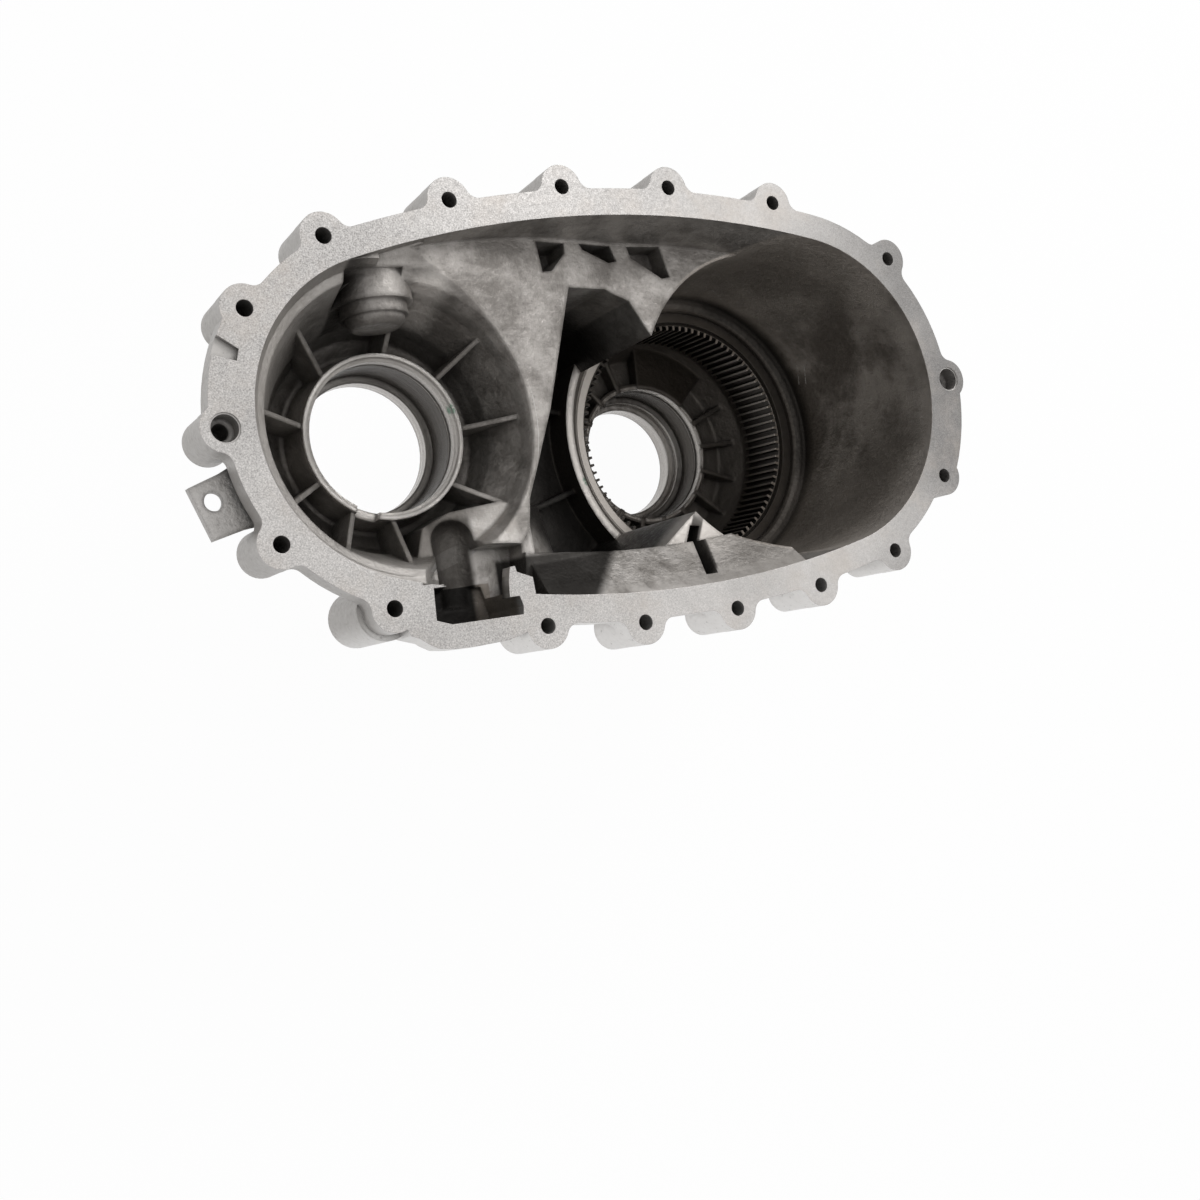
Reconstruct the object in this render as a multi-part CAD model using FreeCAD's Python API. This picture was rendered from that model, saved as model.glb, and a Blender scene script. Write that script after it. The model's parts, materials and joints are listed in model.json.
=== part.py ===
import FreeCAD, Part
import math
import os

os.makedirs("parts", exist_ok=True)

# Main datums, in millimetres
housing_depth = 245.0
axis_spacing = 256.7
past_face = 1.0

# Mating flange
input_end_radius = 96.1
output_end_radius = 87.0
long_side_radius = 611.2
flange_width = 15.4
flange_thickness = 14.0
lobe_radius = 12.5
lobe_blend = 7.0
wall = 6.0

# Flange bolts, M10 with tapped blind holes
bolt_hole_radius = 4.4
boss_radius = 12.3
boss_length = 38.0
bolt_hole_length = 30.0
output_end_bolt_reach = 15.6
output_end_bolt_angles = (145.0, 111.5, -107.4, -144.7)
input_end_bolt_reach = 16.7
input_end_bolt_angles = (45.8, -32.5, -66.7)
input_end_dowel_angle = 0.7
long_side_bolt_reach = 17.0
upper_bolt_stations = (-220.9, -150.6, -79.6, -5.4)
lower_bolt_stations = (-16.9, -79.4, -142.1, -202.7)
dowel_hole_radius = 7.0
dowel_hole_depth = 11.0
dowel_hole_relief = 0.8
through_boss_radius = 15.5
through_boss_length = 60.0
wide_rim_radius = 120.8
wide_rim_angles = (-32.0, 0.0)
seal_shoulder_radius = 110.0
seal_shoulder_angles = (146.0, 179.0)

# Chamber floor that falls from the output end to the planetary pocket
floor_depth = 36.0
floor_flat_from = -105.0
floor_slope = 0.184
floor_tilt = 0.054
floor_thickness = 8.0
floor_reach = 140.0
floor_left = -400.0
mouth_draft = 5.0

# Bowl round the front output bore
bowl_mid_radius = 74.5
bowl_mid_depth = 29.0
bowl_low_radius = 65.0
bowl_low_depth = 58.0
bowl_foot = ((63.8, 67.0), (60.0, 75.0))
bowl_floor_radius = 52.0
bowl_floor_depth = 79.0
ledge_ring = ((83.6, 8.5), (79.0, 12.0))
shoulder_curve = ((96.0, 6.5), (84.0, 12.0), (78.0, 18.0), (75.0, 26.0), (73.6, 34.0))
shoulder_angles = (-80.0, 95.0)

# Front output bearing seat
output_seat_radius = 42.5
output_rim_radius = 46.6
output_rim_foot = 50.0
output_rim_depth = 52.4
output_rim_step_radius = 44.6
output_rim_step_depth = 2.2
drain_notch_angle = -111.5
drain_notch_width = 13.0
drain_notch_depth = 7.0
output_groove_radius = 44.2
output_groove_depth = 61.0
output_groove_width = 2.4
output_seat_bottom = 88.3
output_hole_radius = 38.4
output_nose_depth = 97.9
output_nose_radius = 50.0
bowl_rib_angles = (130.0, 81.0, 40.0, 2.0, -39.0, -93.0, -121.5, -151.0, 169.0)
bowl_rib_thickness = 2.6
bowl_rib_start_depth = 54.5
bowl_rib_end_depth = 34.0
bowl_rib_end_radius = 73.0

# Deep bay beside the planetary pocket
bay_outline = (
    (-139.6, 75.0),
    (-112.0, 75.0),
    (-96.0, 68.0),
    (-84.0, 46.0),
    (-40.0, 0.0),
    (-73.0, -62.0),
    (-99.0, -81.0),
    (-112.0, -86.5),
    (-128.0, -81.0),
    (-171.0, -78.0),
    (-197.0, -77.0),
    (-202.0, -73.0),
    (-193.5, -62.0),
    (-190.5, -46.0),
    (-179.8, -23.9),
    (-166.6, 4.1),
    (-153.6, 38.5),
)
bay_depth = 152.0
bay_ramp_corners = (
    (-197.0, -79.0),
    (-204.0, -73.0),
    (-195.5, -61.0),
    (-191.5, -46.0),
    (-165.0, -46.0),
    (-165.0, -82.0),
)
bay_ramp_place = (-197.0, -77.0)
bay_ramp_depth = 26.0
bay_ramp_slopes = (0.80, 0.36)
bay_ramp_core_top = 69.0
bay_rib_angles = (197.0, 167.0, 139.0)
bay_rib_top = 138.0
bay_rib_thickness = 3.5
bay_rib_reach = 150.0

# Planetary pocket and ring gear seat
pocket_radius = 96.0
pocket_depth = 135.0
barrel_radius = 101.1
lip_rise = 7.0
seat_radius = 88.0
seat_mouth_radius = 92.5
seat_mouth_drop = 2.5
snap_groove_radius = 90.2
snap_ring_thickness = 2.4
snap_ring_side_clearance = 0.2
gear_front_drop = 8.4
gear_length = 37.6
fit_clearance = 0.05
gear_room_radius = 81.5
gear_room_length = 9.0
gear_room_foot_radius = 70.0
gear_room_foot_length = 17.0

# Ring gear
tooth_count = 94
gear_root_radius = 79.7
gear_tip_radius = 76.6
tooth_root_share = 0.62
tooth_tip_share = 0.28
gear_helix_turn = 10.0
snap_ring_inner_radius = 81.5
snap_ring_gap_angles = (-98.0, -86.0)
helix_steps = 1

# Input bearing seat
input_rim_radius = 51.5
input_rim_rise = 9.6
input_seat_radius = 47.5
input_groove_radius = 49.3
input_groove_drop = 5.6
input_groove_width = 2.6
input_seat_length = 26.6
input_step_radius = 43.5
input_step_length = 6.0
input_hole_radius = 39.3
mount_pilot_depth = 2.6
input_rib_count = 17
input_rib_first = 2.0
input_rib_thickness = 3.0
input_rib_lift = 1.4
input_rib_reach = 75.0
solid_sector_angles = (44.0, 86.5)

# Transmission mounting flange
mount_flange_radius = 98.0
mount_flange_thickness = 12.0
mount_pilot_radius = 58.0
neck_radius = 66.0
mount_bolt_circle_radius = 84.0
mount_bolt_count = 6
mount_bolt_radius = 5.5
gusset_thickness = 6.0

# Outer skin of the barrel, from the pocket down to the mounting flange
barrel_step_drop = 8.0
barrel_step = 5.0
gear_shell_radius = 95.5
shell_end_gap = 2.0
shell_shoulder_radius = 88.0
shell_shoulder_length = 10.0
neck_gap = 12.0
nose_root_radius = 60.0
nose_waist_depth = 90.0

# Window, shaft channel and seat beside the output bore
window_corners = (
    (-264.7, -90.0),
    (-265.8, -107.0),
    (-257.3, -110.0),
    (-216.0, -110.0),
    (-215.2, -105.6),
    (-219.0, -90.0),
)
window_depth = 46.0
window_rim_corners = (
    (-286.0, -95.0),
    (-281.0, -113.0),
    (-276.3, -115.0),
    (-271.7, -118.7),
    (-266.6, -121.5),
    (-258.3, -122.7),
    (-244.1, -123.1),
    (-226.5, -122.4),
    (-205.0, -117.0),
    (-200.0, -95.0),
)
channel_x = -233.5
channel_radius = 11.5
channel_axis_depth = 38.0
channel_round_y = -62.0
channel_flank_y = -88.0
channel_end_y = -100.0
channel_flank = 26.0
channel_neck_flank = 13.0
fill_corners = (
    (-190.0, -50.0),
    (-203.0, -44.5),
    (-231.0, -47.0),
    (-247.0, -54.0),
    (-253.0, -70.0),
    (-262.0, -100.0),
    (-200.0, -100.0),
    (-192.0, -75.0),
)
fill_place = (-200.0, -60.0)
fill_depth = 28.8
fill_slopes = (-0.310, 0.244)
fill_thickness = 32.0
seat_pad_corners = (
    (-233.0, -97.0),
    (-233.0, -68.0),
    (-198.0, -70.5),
    (-202.0, -97.0),
)
seat_pad_depth = 42.0
tab_corners = (
    (-222.5, -100.0),
    (-221.5, -91.0),
    (-219.7, -84.1),
    (-216.7, -83.9),
    (-216.1, -87.2),
    (-207.2, -91.0),
    (-206.9, -100.0),
)
tab_thickness = 9.0

# Cored pockets in the ledges
ledge_pockets = (
    ((-159.0, 101.0), (-138.0, 101.0), (-138.5, 95.0), (-150.0, 84.0), (-157.0, 83.0)),
    ((-127.0, 101.5), (-103.0, 101.5), (-100.0, 92.0), (-106.0, 91.0), (-125.0, 98.0)),
    ((-92.0, 101.0), (-68.0, 101.0), (-64.0, 82.0), (-70.0, 81.0), (-90.0, 94.0)),
)
ledge_pocket_depth = 52.0
ledge_pocket_wall = 4.0
slot_corners = ((-79.0, -70.0), (-72.0, -71.0), (-85.0, -102.0), (-93.0, -102.0))
slot_depth = 50.0

# Sloping bank along the lower side of the mouth
bank_rise = 27.0
bank_depth = 29.0
bank_angles = (-98.4, -82.0)

# Round boss that hangs over the output bore
hanging_boss_x = -259.0
hanging_boss_radius = 22.0
hanging_boss_depth = 36.0
hanging_boss_end_y = 68.0
hanging_collar_radius = 18.5
hanging_collar_end_y = 61.5
hanging_tip_radius = 16.5
hanging_tip_end_y = 55.5
hanging_tip_chamfer = 3.5
hanging_boss_root_y = 96.0
niche_side_clearance = 2.0
niche_end_y = 83.0

# Ear with a hole, and the pry recess in the flange face
ear_corners = (
    (-377.0, -25.0),
    (-361.0, -19.0),
    (-336.0, -6.0),
    (-325.0, -44.0),
    (-351.0, -47.5),
    (-368.0, -52.0),
)
ear_hole_place = (-365.1, -32.5)
ear_hole_radius = 4.8
ear_top_depth = 19.0
ear_thickness = 5.0
pry_corners = ((-358.0, 47.0), (-346.7, 38.6), (-348.6, 32.7), (-361.0, 36.5))
pry_depth = 3.0

# Stiffening ribs on the outside
outer_rib_thickness = 5.0
nose_rib_angles = (40.0, 90.0, 140.0, 180.0, 220.0, 270.0, 320.0)
beam_rib_offsets = (-34.0, 0.0, 34.0)


# Bolt lines that follow the inner edge of the flange
output_end_bolt_radius = output_end_radius + output_end_bolt_reach
input_end_bolt_radius = input_end_radius + input_end_bolt_reach
long_side_bolt_radius = long_side_radius + long_side_bolt_reach

# Depths that follow from the pocket floor
lip_depth = pocket_depth - lip_rise
seat_mouth_depth = pocket_depth + seat_mouth_drop
gear_front_depth = pocket_depth + gear_front_drop
gear_rear_depth = gear_front_depth + gear_length
gear_room_depth = gear_rear_depth + gear_room_length
gear_room_foot_depth = gear_room_depth + gear_room_foot_length
input_rim_depth = gear_room_foot_depth - input_rim_rise
input_rib_top = input_rim_depth - input_rib_lift
barrel_end_depth = pocket_depth + barrel_step_drop
shell_end_depth = gear_rear_depth + shell_end_gap
shell_shoulder_depth = shell_end_depth + shell_shoulder_length
mount_flange_top = housing_depth - mount_flange_thickness
neck_depth = mount_flange_top - neck_gap


def vec(x, y, z):
    return FreeCAD.Vector(x, y, z)


def level(depth):
    return housing_depth - depth


def polar(radius, angle, centre_x=0.0):
    turn = math.radians(angle)
    return centre_x + radius * math.cos(turn), radius * math.sin(turn)


def drum(place, radius, top_depth, bottom_depth):
    base = vec(place[0], place[1], level(bottom_depth))
    return Part.makeCylinder(radius, bottom_depth - top_depth, base)


# Prism whose upper face slopes from one place with a given depth
def sloping_slab(corners, place, place_depth, slopes, thickness):
    points = []
    for x, y in corners:
        depth = place_depth + slopes[0] * (x - place[0]) + slopes[1] * (y - place[1])
        points.append(vec(x, y, level(depth)))
    return Part.Face(Part.makePolygon(points + points[:1])).extrude(vec(0, 0, -thickness))


# Metal right of the shaft channel
def fill():
    return sloping_slab(fill_corners, fill_place, fill_depth, fill_slopes, fill_thickness)


def slab(corners, top_depth, bottom_depth):
    points = [vec(x, y, level(bottom_depth)) for x, y in corners]
    face = Part.Face(Part.makePolygon(points + points[:1]))
    return face.extrude(vec(0, 0, bottom_depth - top_depth))


def turned(centre_x, outline):
    points = [vec(centre_x + radius, 0, level(depth)) for radius, depth in outline]
    face = Part.Face(Part.makePolygon(points + points[:1]))
    return face.revolve(vec(centre_x, 0, 0), vec(0, 0, 1), 360)


def arc_through(first, middle, last):
    return Part.Arc(first, middle, last).toShape()


def sector_face(centre_x, radius, angles, depth):
    start = vec(*polar(radius, angles[0], centre_x), level(depth))
    middle = vec(*polar(radius, sum(angles) / 2, centre_x), level(depth))
    end = vec(*polar(radius, angles[1], centre_x), level(depth))
    centre = vec(centre_x, 0, level(depth))
    edges = [
        Part.makeLine(centre, start),
        arc_through(start, middle, end),
        Part.makeLine(end, centre),
    ]
    return Part.Face(Part.Wire(edges))


def radial_plate(centre_x, angle, thickness, outline):
    points = [vec(radius, -thickness / 2, level(depth)) for radius, depth in outline]
    plate = Part.Face(Part.makePolygon(points + points[:1])).extrude(vec(0, thickness, 0))
    plate.rotate(vec(0, 0, 0), vec(0, 0, 1), angle)
    plate.translate(vec(centre_x, 0, 0))
    return plate


# Four tangent arcs make the housing outline
input_reach = long_side_radius - input_end_radius
output_reach = long_side_radius - output_end_radius
long_centre_x = (output_reach**2 - input_reach**2 - axis_spacing**2) / (2 * axis_spacing)
long_centre_y = math.sqrt(input_reach**2 - long_centre_x**2)
output_x = -axis_spacing
output_axis = (output_x, 0.0)
input_axis = (0.0, 0.0)


def oval(growth, depth):
    z = level(depth)
    long_radius = long_side_radius + growth
    input_turn = math.atan2(long_centre_y, -long_centre_x)
    output_turn = math.atan2(long_centre_y, output_x - long_centre_x)
    input_joint = polar(input_end_radius + growth, math.degrees(input_turn))
    output_joint = polar(output_end_radius + growth, math.degrees(output_turn), output_x)
    edges = [
        arc_through(
            vec(input_joint[0], -input_joint[1], z),
            vec(input_end_radius + growth, 0, z),
            vec(input_joint[0], input_joint[1], z),
        ),
        arc_through(
            vec(input_joint[0], input_joint[1], z),
            vec(long_centre_x, long_radius - long_centre_y, z),
            vec(output_joint[0], output_joint[1], z),
        ),
        arc_through(
            vec(output_joint[0], output_joint[1], z),
            vec(output_x - output_end_radius - growth, 0, z),
            vec(output_joint[0], -output_joint[1], z),
        ),
        arc_through(
            vec(output_joint[0], -output_joint[1], z),
            vec(long_centre_x, long_centre_y - long_radius, z),
            vec(input_joint[0], -input_joint[1], z),
        ),
    ]
    return Part.Wire(edges)


def long_side_place(station, side):
    rise = math.sqrt(long_side_bolt_radius**2 - (station - long_centre_x) ** 2) - long_centre_y
    return station, side * rise


# Each flange bolt as its place and the outline arc that it sits on
output_end_arc = (output_axis, output_end_radius + flange_width)
input_end_arc = (input_axis, input_end_radius + flange_width)
upper_arc = ((long_centre_x, -long_centre_y), long_side_radius + flange_width)
lower_arc = ((long_centre_x, long_centre_y), long_side_radius + flange_width)
dowels = [
    (polar(output_end_bolt_radius, 180.0, output_x), output_end_arc),
    (polar(input_end_bolt_radius, input_end_dowel_angle), input_end_arc),
]
bolts = [(polar(output_end_bolt_radius, angle, output_x), output_end_arc) for angle in output_end_bolt_angles]
bolts += [(polar(input_end_bolt_radius, angle), input_end_arc) for angle in input_end_bolt_angles]
bolts += [(long_side_place(station, 1), upper_arc) for station in upper_bolt_stations]
bolts += [(long_side_place(station, -1), lower_arc) for station in lower_bolt_stations]
through_boss_place = bolts[2][0]


def falling_floor(extra):
    wires = []
    for y in (-floor_reach, floor_reach):
        end = floor_depth + extra
        start = end + floor_slope * (floor_left - floor_flat_from) - floor_tilt * y
        top = -past_face - extra - floor_reach
        points = [
            vec(floor_left, y, level(top)),
            vec(floor_left, y, level(start)),
            vec(floor_flat_from, y, level(end)),
            vec(floor_reach, y, level(end)),
            vec(floor_reach, y, level(top)),
        ]
        wires.append(Part.makePolygon(points + points[:1]))
    return Part.makeLoft(wires, True, True)


# Bowl with a narrow ledge below the flange at the output end, and a soft shoulder beside the web
def bowl(growth, floor):
    low = [(radius + growth, depth) for radius, depth in ((bowl_low_radius, bowl_low_depth),) + bowl_foot]
    low += [(bowl_floor_radius, floor), (0.0, floor), (0.0, -past_face)]
    rim = output_end_radius + growth
    ledge = [(radius + growth, depth) for radius, depth in ledge_ring]
    middle = [(bowl_mid_radius + growth, bowl_mid_depth)]
    shoulder = [(radius + growth, depth) for radius, depth in shoulder_curve]
    ledge_side = turned(output_x, [(rim, -past_face), (rim, 0.0)] + ledge + middle + low)
    shoulder_side = turned(output_x, [(shoulder[0][0], -past_face)] + shoulder + low)
    reach = 2 * output_end_radius
    fan = sector_face(output_x, reach, shoulder_angles, floor + wall)
    fan = fan.extrude(vec(0, 0, floor + 2 * wall))
    inside = Part.Face(oval(growth, floor)).extrude(vec(0, 0, floor + past_face))
    return ledge_side.cut(fan).fuse(shoulder_side.common([fan.common(inside)]))


# Plane face of a polygon or a disc sector at one depth
def flat_face(corners, depth):
    points = [vec(x, y, level(depth)) for x, y in corners]
    return Part.Face(Part.makePolygon(points + points[:1]))


# Lobe round a bolt, joined to its outline arc by two hollow blends
def lobe(place, arc, top_depth, bottom_depth):
    centre, radius = arc
    away_x = place[0] - centre[0]
    away_y = place[1] - centre[1]
    distance = math.hypot(away_x, away_y)
    heading = math.degrees(math.atan2(away_y, away_x))
    blend_reach = radius + lobe_blend
    lobe_reach = lobe_radius + lobe_blend
    spread = (blend_reach**2 + distance**2 - lobe_reach**2) / (2 * blend_reach * distance)
    half = math.degrees(math.acos(spread))
    z = level(bottom_depth)

    def around(reach, side):
        x, y = polar(reach, heading + side * half)
        return centre[0] + x, centre[1] + y

    def hollow(side):
        hub = around(blend_reach, side)
        on_outline = around(radius, side)
        share = lobe_radius / lobe_reach
        on_lobe = (place[0] + (hub[0] - place[0]) * share, place[1] + (hub[1] - place[1]) * share)
        towards = [(on_outline[axis] + on_lobe[axis]) / 2 - hub[axis] for axis in (0, 1)]
        scale = lobe_blend / math.hypot(*towards)
        middle = (hub[0] + towards[0] * scale, hub[1] + towards[1] * scale)
        return vec(*on_outline, z), vec(*middle, z), vec(*on_lobe, z)

    first = hollow(-1)
    last = hollow(1)
    tip = vec(place[0] + away_x * lobe_radius / distance, place[1] + away_y * lobe_radius / distance, z)
    foot_first = vec(*around(radius - flange_width / 2, -1), z)
    foot_last = vec(*around(radius - flange_width / 2, 1), z)
    edges = [
        Part.makeLine(foot_first, first[0]),
        arc_through(*first),
        arc_through(first[2], tip, last[2]),
        arc_through(last[2], last[1], last[0]),
        Part.makeLine(last[0], foot_last),
        Part.makeLine(foot_last, foot_first),
    ]
    return Part.Face(Part.Wire(edges)).extrude(vec(0, 0, bottom_depth - top_depth))


def flange():
    raised = vec(0, 0, flange_thickness)
    plate = Part.Face(oval(flange_width, flange_thickness)).extrude(raised)
    wide_rim = sector_face(0.0, wide_rim_radius, wide_rim_angles, flange_thickness)
    shoulder = sector_face(output_x, seal_shoulder_radius, seal_shoulder_angles, flange_thickness)
    pieces = [
        slab(window_rim_corners, 0.0, flange_thickness),
        wide_rim.extrude(raised),
        shoulder.extrude(raised),
        drum(through_boss_place, through_boss_radius, flange_thickness, through_boss_length),
    ]
    for place, arc in bolts + dowels:
        pieces.append(lobe(place, arc, 0.0, flange_thickness))
        pieces.append(drum(place, boss_radius, 0.0, boss_length))
        if arc is output_end_arc:
            angle = math.degrees(math.atan2(place[1], place[0] - output_x))
            pieces.append(radial_plate(output_x, angle, boss_radius, (
                (bowl_low_radius, 0.0),
                (output_end_bolt_radius, 0.0),
                (output_end_bolt_radius, boss_length),
                (bowl_low_radius, boss_length),
            )))
    return plate.multiFuse(pieces)


def grown_slab(corners, growth, top_depth, bottom_depth):
    outline = flat_face(corners, bottom_depth).makeOffset2D(growth)
    return outline.extrude(vec(0, 0, bottom_depth - top_depth))


def outer_body():
    skirt_depth = floor_depth + floor_thickness
    skirt = Part.Face(oval(wall, skirt_depth)).extrude(vec(0, 0, skirt_depth))
    envelope = Part.Face(oval(wall, housing_depth)).extrude(vec(0, 0, housing_depth))
    barrel = turned(0.0, (
        (0.0, 0.0),
        (barrel_radius, 0.0),
        (barrel_radius, barrel_end_depth),
        (gear_shell_radius, barrel_end_depth + barrel_step),
        (gear_shell_radius, shell_end_depth),
        (shell_shoulder_radius, shell_shoulder_depth),
        (neck_radius, neck_depth),
        (neck_radius, mount_flange_top),
        (mount_flange_radius, mount_flange_top),
        (mount_flange_radius, housing_depth),
        (0.0, housing_depth),
    ))
    nose = turned(output_x, (
        (0.0, bowl_low_depth),
        (nose_root_radius, bowl_low_depth),
        (nose_root_radius, bowl_floor_depth),
        (output_nose_radius, nose_waist_depth),
        (output_nose_radius, output_nose_depth),
        (0.0, output_nose_depth),
    ))
    pieces = [
        skirt.common(falling_floor(floor_thickness)),
        turned(output_x, (
            (0.0, 0.0),
            (output_end_radius + wall, 0.0),
            (bowl_mid_radius + wall, bowl_mid_depth),
            (bowl_low_radius + wall, bowl_low_depth),
            (bowl_foot[-1][0] + wall, bowl_foot[-1][1] + wall / 2),
            (bowl_floor_radius, bowl_floor_depth + wall),
            (0.0, bowl_floor_depth + wall),
        )).common(envelope),
        grown_slab(bay_outline, wall, floor_depth / 2, bay_depth + wall).common(envelope),
        grown_slab(window_corners, wall, 0.0, window_depth + wall),
        fill(),
        grown_slab(niche_corners, wall, floor_depth / 2, niche_depth + wall).common(envelope),
        barrel,
        nose,
    ]
    for corners in ledge_pockets:
        box_end = ledge_pocket_depth + ledge_pocket_wall
        pieces.append(grown_slab(corners, ledge_pocket_wall, floor_depth / 2, box_end).common(envelope))
    slot_box = grown_slab(slot_corners, ledge_pocket_wall, floor_depth / 2, slot_depth + ledge_pocket_wall)
    pieces.append(slot_box.common(envelope))
    return pieces


def outer_ribs():
    ribs = []
    for angle in nose_rib_angles:
        ribs.append(radial_plate(output_x, angle, outer_rib_thickness, (
            (output_seat_radius, bowl_low_depth),
            (bowl_mid_radius, floor_depth),
            (bowl_mid_radius + wall, floor_depth + wall),
            (output_nose_radius + wall, nose_waist_depth + wall / 2),
            (output_seat_radius, nose_waist_depth + wall / 2),
        )))
    for index in range(mount_bolt_count):
        angle = (index + 0.5) * 360.0 / mount_bolt_count
        ribs.append(radial_plate(0.0, angle, gusset_thickness, (
            (neck_radius - wall, shell_shoulder_depth),
            (shell_shoulder_radius - wall, shell_shoulder_depth),
            (mount_flange_radius - wall, mount_flange_top),
            (neck_radius - wall, mount_flange_top),
        )))
    beam_start = output_x + output_nose_radius
    beam_end = bay_outline[-1][0]
    for offset in beam_rib_offsets:
        points = [
            vec(beam_start, offset - outer_rib_thickness / 2, level(floor_depth)),
            vec(beam_end, offset - outer_rib_thickness / 2, level(floor_depth)),
            vec(beam_end, offset - outer_rib_thickness / 2, level(bay_depth)),
            vec(beam_start, offset - outer_rib_thickness / 2, level(bowl_low_depth)),
        ]
        face = Part.Face(Part.makePolygon(points + points[:1]))
        ribs.append(face.extrude(vec(0, outer_rib_thickness, 0)))
    return ribs


def ear():
    return slab(ear_corners, ear_top_depth, ear_top_depth + ear_thickness)


# Cast cavities
def mouth():
    deep = floor_depth + past_face
    opening = Part.makeLoft([oval(-mouth_draft, deep), oval(0.0, 0.0)], True, False)
    lead = Part.Face(oval(0.0, 0.0)).extrude(vec(0, 0, past_face))
    return opening.common(falling_floor(0.0)).fuse(lead)


def bay():
    room = slab(bay_outline, 0.0, bay_depth)
    kept = drum(input_axis, barrel_radius, lip_depth, bay_depth)
    return room.cut(kept)


def pocket():
    return turned(0.0, (
        (0.0, -past_face),
        (pocket_radius, -past_face),
        (pocket_radius, pocket_depth),
        (seat_mouth_radius, pocket_depth),
        (seat_radius, seat_mouth_depth),
        (seat_radius, gear_rear_depth),
        (gear_room_radius, gear_rear_depth),
        (gear_room_radius, gear_room_depth),
        (gear_room_foot_radius, gear_room_foot_depth),
        (0.0, gear_room_foot_depth),
    ))


# Trough with a round end and a sloping left flank
def channel():
    centre = vec(channel_x, channel_round_y, level(channel_axis_depth))
    length = channel_round_y - channel_end_y
    along = Part.makeCylinder(channel_radius, length, centre, vec(0, -1, 0))
    ball = Part.makeSphere(channel_radius, centre)
    shaft = drum((channel_x, channel_round_y), channel_radius, -past_face, channel_axis_depth)

    def open_part(flank, start_y, end_y):
        outline = (
            (-channel_radius, channel_axis_depth),
            (channel_radius, channel_axis_depth),
            (channel_radius, -past_face),
            (-channel_radius - flank, -past_face),
        )
        points = [vec(channel_x + offset, start_y, level(depth)) for offset, depth in outline]
        return Part.Face(Part.makePolygon(points + points[:1])).extrude(vec(0, end_y - start_y, 0))

    return along.multiFuse([
        ball,
        shaft,
        open_part(channel_neck_flank, channel_end_y, channel_flank_y),
        open_part(channel_flank, channel_flank_y, channel_round_y),
    ])


# Recess in the ledge that leaves the hanging boss free
niche_half = hanging_boss_radius + niche_side_clearance
niche_depth = hanging_boss_depth + niche_side_clearance
niche_corners = (
    (hanging_boss_x - niche_half, bowl_floor_radius),
    (hanging_boss_x + hanging_boss_radius / 2, bowl_floor_radius),
    (hanging_boss_x + hanging_boss_radius / 2, niche_end_y),
    (hanging_boss_x - niche_half, niche_end_y),
)


def niche():
    inside = Part.Face(oval(-mouth_draft / 2, niche_depth)).extrude(vec(0, 0, niche_depth))
    return slab(niche_corners, 0.0, niche_depth).common(inside)


# Forms that stand inside the cavities
def bank():
    outline = (
        (long_side_radius + wall / 2, 0.0),
        (long_side_radius, 0.0),
        (long_side_radius - bank_rise, bank_depth),
        (long_side_radius - bank_rise, floor_depth + wall / 2),
        (long_side_radius + wall / 2, floor_depth + wall / 2),
    )
    points = [vec(radius, 0, level(depth)) for radius, depth in outline]
    face = Part.Face(Part.makePolygon(points + points[:1]))
    solid = face.revolve(vec(0, 0, 0), vec(0, 0, 1), bank_angles[1] - bank_angles[0])
    solid.rotate(vec(0, 0, 0), vec(0, 0, 1), bank_angles[0])
    solid.translate(vec(long_centre_x, long_centre_y, 0))
    return solid


def output_rim():
    return turned(output_x, (
        (output_hole_radius, output_rim_depth),
        (output_rim_radius, output_rim_depth),
        (output_rim_foot, bowl_floor_depth + wall / 2),
        (output_hole_radius, bowl_floor_depth + wall / 2),
    ))


def bowl_ribs():
    ribs = []
    for angle in bowl_rib_angles:
        plate = radial_plate(output_x, angle, bowl_rib_thickness, (
            (output_seat_radius, bowl_rib_start_depth),
            (output_rim_radius, bowl_rib_start_depth),
            (bowl_rib_end_radius, bowl_rib_end_depth),
            (output_end_radius, bowl_rib_end_depth),
            (output_end_radius, bowl_floor_depth + wall / 2),
            (output_seat_radius, bowl_floor_depth + wall / 2),
        ))
        ribs.append(plate.common(bowl(wall / 2, bowl_floor_depth + wall / 2)))
    return ribs


def hanging_boss():
    upward = vec(0, 1, 0)

    def step(radius, end_y):
        start = vec(hanging_boss_x, end_y, level(hanging_boss_depth))
        return Part.makeCylinder(radius, hanging_boss_root_y - end_y, start, upward)

    tip_start = vec(hanging_boss_x, hanging_tip_end_y, level(hanging_boss_depth))
    tip = Part.makeCone(
        hanging_tip_radius - hanging_tip_chamfer,
        hanging_tip_radius,
        hanging_tip_chamfer,
        tip_start,
        upward,
    )
    shape = step(hanging_boss_radius, hanging_boss_end_y).multiFuse([
        step(hanging_collar_radius, hanging_collar_end_y),
        step(hanging_tip_radius, hanging_tip_end_y + hanging_tip_chamfer),
        tip,
    ])
    skirt = Part.Face(oval(wall / 2, bowl_low_depth)).extrude(vec(0, 0, bowl_low_depth))
    return shape.common(skirt)


# The part of the fill that stands inside the mouth and the bowl
def inner_fill():
    skirt = Part.Face(oval(wall / 2, housing_depth)).extrude(vec(0, 0, housing_depth))
    return fill().common(skirt)


def bay_ramp():
    block = sloping_slab(bay_ramp_corners, bay_ramp_place, bay_ramp_depth, bay_ramp_slopes, bay_depth)
    return block.common(slab(bay_ramp_corners, 0.0, bay_depth + wall / 2))


# Hollow under the ramp, open to the underside
def bay_ramp_core():
    return grown_slab(bay_ramp_corners, -wall, bay_ramp_core_top, bay_depth + 2 * wall)


def tab():
    return slab(tab_corners, 0.0, tab_thickness)


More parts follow.
